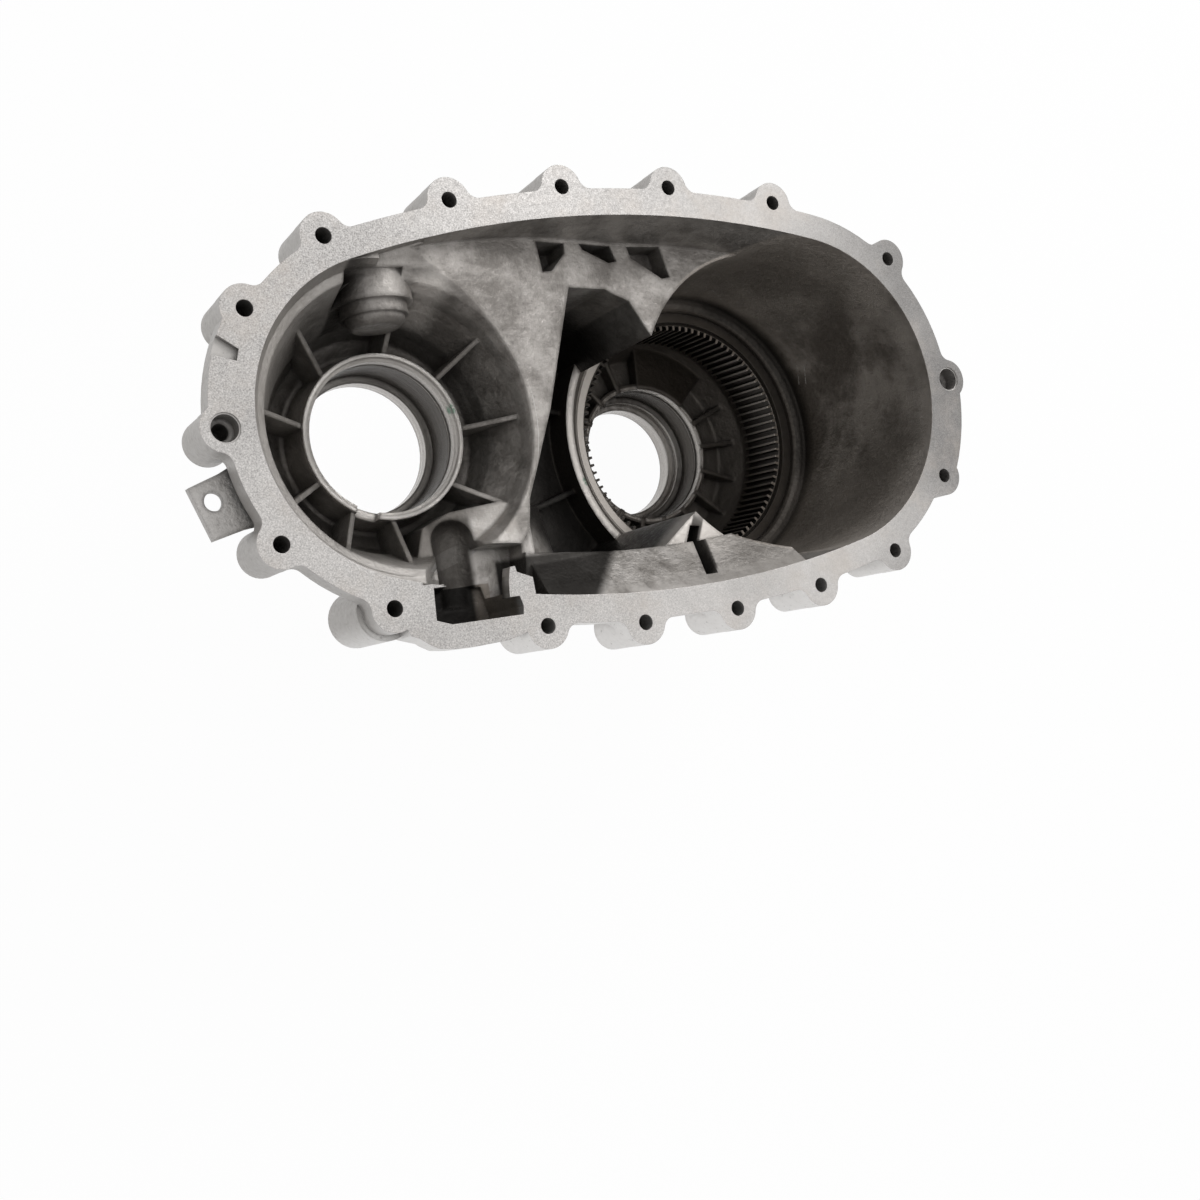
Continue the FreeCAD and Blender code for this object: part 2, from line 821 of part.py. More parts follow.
def bay_ribs():
    ribs = []
    room = grown_slab(bay_outline, wall / 2, floor_depth / 2, bay_depth + wall / 2)
    for angle in bay_rib_angles:
        plate = radial_plate(0.0, angle, bay_rib_thickness, (
            (seat_radius + wall, bay_rib_top),
            (bay_rib_reach, bay_rib_top),
            (bay_rib_reach, bay_depth + wall / 2),
            (seat_radius + wall, bay_depth + wall / 2),
        ))
        ribs.append(plate.common(room))
    return ribs


def input_rim():
    return turned(0.0, (
        (input_hole_radius, input_rim_depth),
        (input_rim_radius, input_rim_depth),
        (input_rim_radius, gear_room_foot_depth + wall / 2),
        (input_hole_radius, gear_room_foot_depth + wall / 2),
    ))


def input_ribs():
    room = turned(0.0, (
        (0.0, input_rib_top),
        (gear_room_radius, input_rib_top - wall),
        (gear_room_radius, gear_room_depth + wall / 2),
        (gear_room_foot_radius, gear_room_foot_depth + wall / 2),
        (0.0, gear_room_foot_depth + wall / 2),
    ))
    shapes = []
    for index in range(input_rib_count):
        angle = input_rib_first + index * 360.0 / input_rib_count
        plate = radial_plate(0.0, angle, input_rib_thickness, (
            (input_seat_radius, input_rib_top),
            (gear_room_radius, input_rib_top),
            (gear_room_radius, gear_room_foot_depth + wall / 2),
            (input_seat_radius, gear_room_foot_depth + wall / 2),
        ))
        shapes.append(plate.common(room))
    block = sector_face(0.0, gear_room_radius, solid_sector_angles, gear_room_foot_depth + wall / 2)
    block = block.extrude(vec(0, 0, gear_room_foot_depth + wall / 2 - input_rib_top))
    shapes.append(block.common(room))
    return shapes


# Machined bores and holes
def output_bore():
    groove_end = output_groove_depth + output_groove_width
    return turned(output_x, (
        (0.0, output_rim_depth - past_face),
        (output_rim_step_radius, output_rim_depth - past_face),
        (output_rim_step_radius, output_rim_depth + output_rim_step_depth),
        (output_seat_radius, output_rim_depth + output_rim_step_depth),
        (output_seat_radius, output_groove_depth),
        (output_groove_radius, output_groove_depth),
        (output_groove_radius, groove_end),
        (output_seat_radius, groove_end),
        (output_seat_radius, output_seat_bottom),
        (output_hole_radius, output_seat_bottom),
        (output_hole_radius, output_nose_depth + past_face),
        (0.0, output_nose_depth + past_face),
    ))


# Notch that drains the bearing over the edge of the rim
def drain_notch():
    return radial_plate(output_x, drain_notch_angle, drain_notch_width, (
        (output_seat_radius - wall, output_rim_depth - past_face),
        (output_rim_foot, output_rim_depth - past_face),
        (output_rim_foot, output_rim_depth + drain_notch_depth),
        (output_seat_radius - wall, output_rim_depth + drain_notch_depth),
    ))


def input_bore():
    groove_start = input_rim_depth + input_groove_drop
    groove_end = groove_start + input_groove_width
    seat_bottom = input_rim_depth + input_seat_length
    step_bottom = seat_bottom + input_step_length
    pilot_top = housing_depth - mount_pilot_depth
    return turned(0.0, (
        (0.0, input_rib_top - wall),
        (input_seat_radius, input_rib_top - wall),
        (input_seat_radius, groove_start),
        (input_groove_radius, groove_start),
        (input_groove_radius, groove_end),
        (input_seat_radius, groove_end),
        (input_seat_radius, seat_bottom),
        (input_step_radius, seat_bottom),
        (input_step_radius, step_bottom),
        (input_hole_radius, step_bottom),
        (input_hole_radius, pilot_top),
        (mount_pilot_radius, pilot_top),
        (mount_pilot_radius, housing_depth + past_face),
        (0.0, housing_depth + past_face),
    ))


def snap_groove():
    top = gear_front_depth - snap_ring_thickness - snap_ring_side_clearance
    return drum(input_axis, snap_groove_radius, top, gear_front_depth)


def bolt_holes():
    holes = []
    for place, arc in bolts + dowels:
        holes.append(drum(place, bolt_hole_radius, -past_face, bolt_hole_length))
    for place, arc in dowels:
        holes.append(drum(place, dowel_hole_radius, -past_face, dowel_hole_depth))
        holes.append(drum(place, dowel_hole_radius + dowel_hole_relief, -past_face, dowel_hole_relief))
    for index in range(mount_bolt_count):
        place = polar(mount_bolt_circle_radius, index * 360.0 / mount_bolt_count)
        holes.append(drum(place, mount_bolt_radius, mount_flange_top - past_face, housing_depth + past_face))
    holes.append(drum(ear_hole_place, ear_hole_radius, ear_top_depth - past_face, ear_top_depth + wall))
    return holes


def casting():
    solid = flange().multiFuse(outer_body() + outer_ribs() + [ear()])
    pockets = [slab(corners, 0.0, ledge_pocket_depth) for corners in ledge_pockets]
    cavities = [mouth(), bowl(0.0, bowl_floor_depth), bay(), pocket(), niche()]
    solid = solid.cut(cavities)
    solid = solid.multiFuse([bank(), inner_fill(), bay_ramp(), hanging_boss()])
    recess = slab(seat_pad_corners, 0.0, seat_pad_depth)
    window = slab(window_corners, -past_face, window_depth)
    hollows = [slab(slot_corners, 0.0, slot_depth), window, recess, channel(), bay_ramp_core(), pocket()]
    solid = solid.cut(pockets + hollows)
    inner = [tab(), output_rim(), input_rim()] + bowl_ribs() + input_ribs() + bay_ribs()
    solid = solid.multiFuse(inner)
    pry = slab(pry_corners, -past_face, pry_depth)
    solid = solid.cut([output_bore(), drain_notch(), input_bore(), snap_groove(), pry] + bolt_holes())
    return solid.removeSplitter()


# Ring gear with helical internal teeth
def tooth_space_wire(depth, turn):
    pitch = 360.0 / tooth_count
    points = []
    for index in range(tooth_count):
        middle = index * pitch + turn
        half_root = pitch * tooth_root_share / 2
        half_tip = pitch * tooth_tip_share / 2
        for radius, angle in (
            (gear_root_radius, middle - half_root),
            (gear_root_radius, middle + half_root),
            (gear_tip_radius, middle + pitch / 2 - half_tip),
            (gear_tip_radius, middle + pitch / 2 + half_tip),
        ):
            points.append(vec(*polar(radius, angle), level(depth)))
    return Part.makePolygon(points + points[:1])


def ring_gear():
    ring = drum(input_axis, seat_radius - fit_clearance, gear_front_depth, gear_rear_depth)
    wires = []
    for step in range(helix_steps + 1):
        share = step / helix_steps
        wires.append(tooth_space_wire(gear_front_depth + gear_length * share, -gear_helix_turn * share))
    return ring.cut(Part.makeLoft(wires, True, True))


def snap_ring():
    outer = snap_groove_radius - snap_ring_side_clearance
    ring = drum(input_axis, outer, gear_front_depth - snap_ring_thickness, gear_front_depth)
    bore = drum(input_axis, snap_ring_inner_radius, gear_front_depth - snap_ring_thickness, gear_front_depth)
    opening = sector_face(0.0, input_end_radius, snap_ring_gap_angles, gear_front_depth)
    gap = opening.extrude(vec(0, 0, snap_ring_thickness))
    return ring.cut([bore, gap])


for name, shape in (
    ("housing_casting", casting()),
    ("annulus_ring_gear", ring_gear()),
    ("annulus_snap_ring", snap_ring()),
):
    shape.exportStep("parts/" + name + ".step")
    print(name, len(shape.Solids), shape.isValid(), round(shape.Volume), shape.BoundBox)
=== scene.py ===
import json
import math

import bpy
from mathutils import Matrix, Vector

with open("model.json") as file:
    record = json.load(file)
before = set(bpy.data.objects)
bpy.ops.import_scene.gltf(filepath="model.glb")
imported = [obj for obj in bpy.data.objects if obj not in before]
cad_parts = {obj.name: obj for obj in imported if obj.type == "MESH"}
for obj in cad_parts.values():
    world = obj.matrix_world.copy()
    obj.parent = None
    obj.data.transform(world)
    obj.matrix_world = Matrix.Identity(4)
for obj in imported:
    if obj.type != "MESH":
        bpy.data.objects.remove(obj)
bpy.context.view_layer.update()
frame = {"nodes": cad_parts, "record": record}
nodes = frame["nodes"]
mounts = {mount["name"]: mount["pos_m"] for mount in frame["record"]["mounts"]}

# Sizes in metres, in the frame of the housing. A depth is measured down from the mating face
FLANGE_Z = mounts["mating_face"][2]
OUTPUT_X = mounts["output_bearing_seat"][0]

# Plan of the mouth and profile of the pocket, for telling the inside from the outer skin
SIDE_CENTRE_X = -0.1099
SIDE_CENTRE_Y = 0.5032
SIDE_RADIUS = 0.6140
MOUTH_MIDDLE = (-0.2811, 0.0205)
INPUT_END = 0.0989
OUTPUT_END = 0.0900
POCKET_EDGE = 0.0985
SEAT_EDGE = (0.1354, 0.0940)
ROOM_EDGE = (0.1830, 0.0860)
FOOT_EDGE = (0.2075, 0.0735)
BORE_EDGE = (0.2085, 0.0505)
BAY_END = -0.1950
BAY_NEAR_END = -0.1210
BAY_RIB_END = -0.1470
BAY_DEPTH = 0.1545
SHELF_DEPTH = 0.056
BOWL_EDGE = 0.080
BOWL_DROP = 0.2747
BOWL_SLOPE = 3.17
END_WALL_REACH = (0.066, 0.068)

# Mating face
FACE_DEPTH = (0.0004, 0.0009)
FACE_COARSE_X = (-0.24, -0.02)
FACE_DARK_X = (-0.02, 0.09)
FACE_DARK_Y = (-0.03, 0.06)
FACE_DARK_PATCH = (0.1050, -0.0280, 0.2450)
FACE_DARK_PATCH_SIZE = 0.065

# Outer skin and plain skin inside, with painted light on their lower and shallow parts and painted shade on
# the bowl's wall
LIT_SKIN_Y = (-0.100, -0.118)
LOWER_SIDE_Y = (-0.060, -0.075)
LOWER_SIDE_X = (-0.13, -0.06)
BOWL_LEFT_X = (-0.295, -0.325)
LIT_SHALLOW_DEPTH = (0.004, 0.022)
LIT_SHALLOW_X = (-0.27, -0.22)
LIT_SHALLOW_Y = (-0.030, 0.020)
BOWL_WALL_RADIUS = 0.077
BOWL_WALL_DEPTH = (0.018, 0.034)
BOWL_WALL_X = (-0.275, -0.245)
BOWL_WALL_END_X = (-0.212, -0.192)
BOWL_LOW_Y = (-0.012, -0.040)
BOWL_LOW_X = (-0.230, -0.212)

# Oil stain and painted light on the pocket wall, painted shade in the bay and on the deep floor
POCKET_WALL_RADIUS = (0.0930, 0.0975)
POCKET_WALL_X = (-0.075, -0.045)
POCKET_TOP_Y = (0.045, 0.085)
POCKET_LOW_Y = (-0.018, -0.058)
NEAR_FACE_DEPTH = (0.002, 0.040)
NEAR_FACE_Y = (0.030, -0.045)
BAY_SHADE_X = (-0.085, -0.065)
BAY_SHADE_RADIUS = (0.074, 0.080)
BAY_UPPER_Y = (0.0, 0.045)
BAY_UPPER_START = 0.022
BAY_SLOW_DEPTH = (0.030, 0.085)
BAY_QUICK_DEPTH = (0.040, 0.056)
BAY_QUICK_Y = (0.0, 0.040)
BAY_CORNER_Y = (-0.068, -0.052)
BAY_CORNER_DEPTH = (0.027, 0.036)
BAY_CORNER_X = (-0.204, -0.194)
BAY_CORNER_END_Y = (0.0, 0.010)
LOW_DEPTH = (0.122, 0.134)
FAR_SIDE_RADIUS = (0.086, 0.088)
FAR_SIDE_X = (0.0, 0.040)
FAR_SIDE_Y = (-0.050, -0.020)

# Shade and light on single forms
BOSS_Y = (0.0550, 0.0930)
BOSS_DEPTH = (0.060, 0.064)
BOSS_SHADE_X = (-0.2790, -0.2600)
BOSS_SHADE_START_X = (-0.285, -0.281)
BOSS_LIGHT_X = (-0.2420, -0.2240)
BOSS_LIGHT_Y = (0.0560, 0.0780)
FILL_X = (-0.2250, -0.2020)
FILL_Y = (-0.0920, -0.0520)
FORM_LIGHT_DEPTH = (0.050, 0.060)
PEAK_MIDDLE = (-0.0760, -0.0740, 0.2130)
PEAK_SIZE = 0.032
BOWL_LIGHT_MIDDLE = (-0.1950, -0.0360, 0.2000)
BOWL_LIGHT_SIZE = 0.034
BOWL_LIGHT_END_X = (-0.190, -0.186)

# Trough, window through the flange, slot and bank: painted shade in the first three, a darker end on the
# bank
TROUGH_X = (-0.2450, -0.2215)
TROUGH_Y = (-0.0990, -0.0500)
TROUGH_DEPTH = (0.026, 0.034)
WINDOW_X = (-0.2680, -0.2140)
WINDOW_Y = (-0.1110, -0.0885)
WINDOW_TOP = 0.0065
WINDOW_TONE_X = (-0.2240, -0.2190)
SLOT_MIDDLE = (-0.0830, -0.0860, 0.2150)
SLOT_SIZE = 0.030
SLOT_LEAN = -0.43
SLOT_SIDE = (-0.0480, -0.0398)
BANK_SLANT = 1.03
BANK_SPLIT = (-0.172, -0.163)
BANK_Y = (-0.1060, -0.0770)
BANK_START_X = (-0.209, -0.207)

# Dark sector, paint and scratches
DARK_SECTOR_ANGLES = (43.0, 88.0)
DARK_SECTOR_RADIUS = (0.050, 0.078)
DARK_SECTOR_DEPTH = (0.185, 0.190)
GREEN_MARKS = ((-0.0910, -0.0245, 0.1170), (-0.2160, 0.0122, 0.1932))
GREEN_SIZE = 0.0045
SCRATCH_WIDTH = 0.0008
SCRATCHES = (
    ((0.0868, 0.0410, 0.1270), (0.0914, 0.0295, 0.1202)),
    ((0.0876, 0.0393, 0.1337), (0.0923, 0.0264, 0.1264)),
    ((0.0176, 0.0944, 0.1367), (0.0325, 0.0903, 0.1258)),
)

# Bored rims: outer radius, depths of the rim and of its groove, and where the shaft bore starts
OUTPUT_RIM = {"radius": 0.0470, "depth": (0.0520, 0.0985), "groove": (0.0610, 0.0634), "bore": 0.0883}
INPUT_RIM = {"radius": 0.0497, "depth": (0.1969, 0.2455), "groove": (0.2030, 0.2056), "bore": 0.2240}

# Seat of the ring gear and the wall in front of it, with painted light and painted shade on both
SEAT_RADIUS = (0.0878, 0.0930)
SEAT_DEPTH = (0.1365, 0.1860)
SEAT_LIT_DEPTH = (0.146, 0.142)
SEAT_FAR_X = (0.0, 0.040)
LIT_SIDE_X = (-0.045, -0.070)
RING_WALL_RADIUS = (0.0940, 0.1018)
RING_WALL_X = (-0.040, -0.055)
RING_LIP_DEPTH = (0.1268, 0.1288)
RING_BACK_DEPTH = (0.1288, 0.1300)
RING_BACK_RADIUS = (0.0995, 0.1000)

# Ring gear, with tips bright from wear and a painted highlight, and front ends with painted shade and a
# painted highlight
TOOTH_WEAR_AND_SHEEN_RADIUS = 0.0772
TOOTH_FRONT_RADIUS = 0.0797
TOOTH_FRONT_DEPTH = (0.1446, 0.1436)
TOOTH_FRONT_X = (-0.030, 0.020)

# Rounding of edges that the shading shows, at the face and on rough castings below it
FACE_ROUNDING = 0.0004
SKIN_ROUNDING = 0.0034
ROUNDING_DEPTH = (0.005, 0.014)
ROUGH_SKIN_DEPTH = (0.001, 0.012)
# Reach of the occlusion test that paints shade into corners
CREVICE_SHADE_REACH = 0.012

# Scales of the noises that run in one direction
STREAK_SCALE = (60.0, 60.0, 9.0)
WIPE_SCALE = (14.0, 90.0, 60.0)
TURNED_SCALE = (3.0, 3.0, 5200.0)

# Studio
FLOOR_SIZE = 9.0
WHITE_SHARE = 0.97
WORLD_STRENGTH = 0.36
LIGHT_TARGET = (-0.12, 0.0, 0.2)
LAMPS = (
    ("key_light", (0.9, 1.3, 1.6), 1.0, 20.0),
    ("camera_side_light", (-1.2, 0.4, 2.1), 1.4, 3.0),
    ("right_light", (1.4, -0.3, 1.6), 1.0, 4.0),
)

# Camera solved from the reference view
CAMERA_PLACE = Vector((-0.5552, -0.1345, 0.6840 + FLANGE_Z))
CAMERA_RIGHT = Vector((0.8621, -0.1599, 0.4809))
CAMERA_UP = Vector((0.1231, 0.9866, 0.1074))
CAMERA_BACK = Vector((-0.4916, -0.0334, 0.8702))
CAMERA_LENS = 43.10
CAMERA_SENSOR = 36.0


class Graph:
    """Short calls for one material's node tree."""

    def __init__(self, name):
        self.material = bpy.data.materials.new(name)
        self.material.use_nodes = True
        self.tree = self.material.node_tree
        self.tree.nodes.clear()
        self.output = self.add("ShaderNodeOutputMaterial")

    def add(self, kind, **values):
        node = self.tree.nodes.new(kind)
        for key, value in values.items():
            setattr(node, key, value)
        return node

    def link(self, source, target):
        self.tree.links.new(source, target)

    def feed(self, socket, value):
        if isinstance(value, bpy.types.NodeSocket):
            self.link(value, socket)
        else:
            socket.default_value = value

    def coordinates(self):
        return self.add("ShaderNodeTexCoord").outputs["Object"]

    def axis(self, vector, index):
        split = self.add("ShaderNodeSeparateXYZ")
        self.link(vector, split.inputs[0])
        return split.outputs[index]

    def vector_math(self, operation, first, second):
        node = self.add("ShaderNodeVectorMath", operation=operation)
        self.feed(node.inputs[0], first)
        self.feed(node.inputs[1], second)
        return node

    def noise(self, vector, scale, detail, roughness, distortion=0.0):
        node = self.add("ShaderNodeTexNoise")
        self.link(vector, node.inputs["Vector"])
        node.inputs["Scale"].default_value = scale
        node.inputs["Detail"].default_value = detail
        node.inputs["Roughness"].default_value = roughness
        node.inputs["Distortion"].default_value = distortion
        return node.outputs["Fac"]

    def math(self, operation, first, second=0.0, clamp=False):
        node = self.add("ShaderNodeMath", operation=operation, use_clamp=clamp)
        self.feed(node.inputs[0], first)
        self.feed(node.inputs[1], second)
        return node.outputs[0]

    def plus(self, first, second):
        return self.math("ADD", first, second)

    def less(self, first, second):
        return self.math("SUBTRACT", first, second)

    def most(self, first, second):
        return self.math("MAXIMUM", first, second)

    def times(self, first, *others):
        product = first
        for value in others:
            product = self.math("MULTIPLY", product, value)
        return product

    def ramp(self, value, low, high, low_out=0.0, high_out=1.0, course="SMOOTHSTEP"):
        node = self.add("ShaderNodeMapRange", clamp=True, interpolation_type=course)
        self.feed(node.inputs["Value"], value)
        node.inputs["From Min"].default_value = low
        node.inputs["From Max"].default_value = high
        node.inputs["To Min"].default_value = low_out
        node.inputs["To Max"].default_value = high_out
        return node.outputs["Result"]

    def blend(self, factor, first, second, mode="MIX"):
        node = self.add("ShaderNodeMix", data_type="RGBA", blend_type=mode)
        self.feed(node.inputs[0], factor)
        self.feed(node.inputs[6], first)
        self.feed(node.inputs[7], second)
        return node.outputs[2]

    def pick(self, factor, first, second):
        node = self.add("ShaderNodeMix", data_type="FLOAT")
        self.feed(node.inputs[0], factor)
        self.feed(node.inputs[2], first)
        self.feed(node.inputs[3], second)
        return node.outputs[0]

    def tone(self, value):
        node = self.add("ShaderNodeCombineColor")
        for index in range(3):
            self.feed(node.inputs[index], value)
        return node.outputs[0]

    def stretched(self, vector, scale):
        node = self.add("ShaderNodeMapping")
        self.link(vector, node.inputs["Vector"])
        node.inputs["Scale"].default_value = scale
        return node.outputs[0]

    def bump(self, height, strength, distance, normal):
        node = self.add("ShaderNodeBump")
        self.feed(node.inputs["Height"], height)
        node.inputs["Strength"].default_value = strength
        node.inputs["Distance"].default_value = distance
        self.link(normal, node.inputs["Normal"])
        return node.outputs[0]

    def soft_edges(self, radius):
        node = self.add("ShaderNodeBevel", samples=4)
        self.feed(node.inputs["Radius"], radius)
        return node.outputs[0]

    def crevices(self, reach):
        node = self.add("ShaderNodeAmbientOcclusion", samples=4)
        node.inputs["Distance"].default_value = reach
        return node.outputs["AO"]

    def metal(self, colour, metallic, roughness, normal):
        """Links a metal shader to the output and returns it."""
        shader = self.add("ShaderNodeBsdfPrincipled")
        self.link(colour, shader.inputs["Base Color"])
        shader.inputs["Metallic"].default_value = metallic
        self.link(roughness, shader.inputs["Roughness"])
        self.link(normal, shader.inputs["Normal"])
        self.link(shader.outputs[0], self.output.inputs["Surface"])
        return shader


def grey(value, warmth=0.0):
    return (value * (1 + warmth), value, value * (1 - warmth), 1.0)


class Place:
    """Measures of a point of the housing, all in metres."""

    def __init__(self, g):
        self.g = g
        self.all = g.coordinates()
        self.x = g.axis(self.all, 0)
        self.y = g.axis(self.all, 1)
        self.z = g.axis(self.all, 2)
        self.depth = g.less(FLANGE_Z, self.z)
        self.normal = g.add("ShaderNodeNewGeometry").outputs["True Normal"]
        self.rise = g.axis(self.normal, 2)
        self.input_radius = self.radius_from(0.0, 0.0)
        self.output_radius = self.radius_from(OUTPUT_X, 0.0)

    def radius_from(self, x, y):
        g = self.g
        across = g.math("POWER", g.less(self.x, x), 2.0)
        along = g.math("POWER", g.less(self.y, y), 2.0)
        return g.math("SQRT", g.plus(across, along))

    def near(self, point, size, soft=0.4):
        gap = self.g.vector_math("DISTANCE", self.all, point)
        return self.g.ramp(gap.outputs["Value"], size * (1 - soft), size, 1.0, 0.0)

    def between(self, value, low, high, soft=0.0003):
        g = self.g
        above = g.ramp(value, low - soft, low + soft)
        below = g.ramp(value, high - soft, high + soft, 1.0, 0.0)
        return g.times(above, below)

    def below(self, value, limit, soft=0.0004):
        return self.g.ramp(value, limit - soft, limit + soft, 1.0, 0.0)

    def past(self, depth):
        return self.g.ramp(self.depth, depth - 0.0004, depth + 0.0004)

    def inside(self):
        """One inside the mouth of the housing, nought on its outer skin."""
        g = self.g
        within_mouth = g.most(self.shallow_part(), self.pocket_part())
        return g.times(self.mouth_plan(), within_mouth)

    def mouth_plan(self):
        """One within the outline of the mouth: a lens of two arcs, closed by a round end at each axis."""
        g = self.g
        upper = self.radius_from(SIDE_CENTRE_X, -SIDE_CENTRE_Y)
        lower = self.radius_from(SIDE_CENTRE_X, SIDE_CENTRE_Y)
        lens = g.times(self.below(upper, SIDE_RADIUS), self.below(lower, SIDE_RADIUS))
        input_end = self.below(self.input_radius, INPUT_END)
        output_end = self.below(self.output_radius, OUTPUT_END)
        middle = self.between(self.x, *MOUTH_MIDDLE)
        return g.times(lens, g.most(middle, g.most(input_end, output_end)))

    def shallow_part(self):
        """One above the floors of the bowl, ledge and bay, where no wall faces out."""
        g = self.g
        bowl = g.less(BOWL_DROP, g.times(self.output_radius, BOWL_SLOPE))
        bowl_side = self.below(self.output_radius, BOWL_EDGE)
        bay = g.pick(g.ramp(self.x, BAY_END - 0.002, BAY_END), SHELF_DEPTH, BAY_DEPTH)
        limit = g.pick(bowl_side, bay, bowl)
        above_floor = g.ramp(g.less(limit, self.depth), 0.0, 0.001)
        return g.times(above_floor, g.less(1.0, self.facing_out()))

    def pocket_part(self):
        """One within the stepped profile of the pocket round the input axis."""
        g = self.g
        reach = g.pick(self.past(SEAT_EDGE[0]), POCKET_EDGE, SEAT_EDGE[1])
        cone = g.ramp(self.depth, ROOM_EDGE[0], FOOT_EDGE[0], ROOM_EDGE[1], FOOT_EDGE[1], "LINEAR")
        reach = g.pick(self.past(ROOM_EDGE[0]), reach, cone)
        reach = g.pick(self.past(BORE_EDGE[0]), reach, BORE_EDGE[1])
        return g.ramp(g.less(reach, self.input_radius), 0.0, 0.0008)

    def facing_out(self):
        """One where a surface far from the line between both axes looks away from it or down."""
        g = self.g
        held = g.math("MINIMUM", g.most(self.x, OUTPUT_X), 0.0)
        inward = g.add("ShaderNodeCombineXYZ")
        g.feed(inward.inputs[0], g.less(held, self.x))
        g.feed(inward.inputs[1], g.times(self.y, -1.0))
        inward = inward.outputs[0]
        far = g.add("ShaderNodeVectorMath", operation="LENGTH")
        g.link(inward, far.inputs[0])
        level = g.add("ShaderNodeVectorMath", operation="NORMALIZE")
        g.link(inward, level.inputs[0])
        toward = g.vector_math("DOT_PRODUCT", self.normal, level.outputs[0])
        away = g.ramp(toward.outputs["Value"], -0.40, -0.28, 1.0, 0.0)
        down = g.ramp(self.rise, -0.60, -0.40, 1.0, 0.0)
        end = g.ramp(g.axis(self.normal, 0), -0.35, -0.25, 1.0, 0.0)
        end = g.times(end, g.ramp(self.x, BAY_NEAR_END - 0.003, BAY_NEAR_END, 1.0, 0.0))
        side = g.times(away, g.ramp(self.x, BAY_RIB_END - 0.003, BAY_RIB_END, 1.0, 0.0))
        end = g.most(end, side)
        away = g.times(away, g.ramp(far.outputs["Value"], *END_WALL_REACH))
        end = g.times(end, g.ramp(self.depth, SHELF_DEPTH - 0.006, SHELF_DEPTH))
        end = g.times(end, g.ramp(self.output_radius, BOWL_EDGE - 0.0005, BOWL_EDGE + 0.0005))
        return g.most(g.most(down, away), end)

    def line(self, start, finish, width, breakup):
        """One along a thin scratch between two points."""
        g = self.g
        along = Vector(finish) - Vector(start)
        offset = g.vector_math("SUBTRACT", self.all, start).outputs[0]
        share = g.vector_math("DOT_PRODUCT", offset, along / along.length_squared)
        held = g.math("ADD", share.outputs["Value"], 0.0, clamp=True)
        foot = g.add("ShaderNodeVectorMath", operation="SCALE")
        foot.inputs[0].default_value = along
        g.link(held, foot.inputs["Scale"])
        gap = g.vector_math("DISTANCE", offset, foot.outputs[0])
        thin = g.ramp(gap.outputs["Value"], width * 0.4, width, 1.0, 0.0)
        return g.times(thin, g.ramp(breakup, 0.40, 0.60, 0.0, 0.9))


class Grain:
    """Noises that the layers of the casting share."""

    def __init__(self, g, p):
        self.sand = g.noise(p.all, 1250.0, 2.0, 0.7)
        self.fine = g.noise(p.all, 420.0, 4.0, 0.6)
        self.cloud = g.noise(p.all, 34.0, 7.0, 0.66)
        self.patch = g.noise(p.all, 14.0, 5.0, 0.6, 0.2)
        self.streak = g.noise(g.stretched(p.all, STREAK_SCALE), 1.0, 5.0, 0.6, 0.2)
        self.wipe = g.noise(g.stretched(p.all, WIPE_SCALE), 1.0, 5.0, 0.62, 0.15)
        self.turned = g.noise(g.stretched(p.all, TURNED_SCALE), 1.0, 2.0, 0.6)


def milled_face(g, p, n):
    """Mating face, coarser at the output end."""
    speckle = g.times(g.less(n.sand, 0.5), g.ramp(p.x, *FACE_COARSE_X, 0.80, 0.28))
    haze = g.ramp(n.patch, 0.35, 0.65, -0.035, 0.035)
    level = g.plus(g.ramp(p.x, *FACE_DARK_X, 0.46, 0.31), g.ramp(p.y, *FACE_DARK_Y, 0.0, -0.06))
    # A darker patch on the face.
    level = g.less(level, g.times(p.near(FACE_DARK_PATCH, FACE_DARK_PATCH_SIZE, 0.8), 0.10))
    value = g.plus(g.plus(level, speckle), haze)
    face = g.blend(g.ramp(n.cloud, 0.45, 0.75, 0.0, 0.4), g.tone(value), grey(0.40, 0.08))
    return g.blend(1.0, face, (1.0, 0.965, 0.935, 1.0), "MULTIPLY")


def outer_skin(g, p, n):
    """As-cast skin outside, with painted light making it paler along the lower side."""
    skin = g.blend(n.cloud, grey(0.36, 0.05), grey(0.52, 0.03))
    # Painted light: the lower side is laid over with a pale tone.
    skin = g.blend(g.ramp(p.y, *LIT_SKIN_Y, 0.0, 0.9), skin, grey(0.84, 0.02))
    return g.blend(g.ramp(n.fine, 0.6, 0.75, 0.0, 0.5), skin, grey(0.24, 0.05))


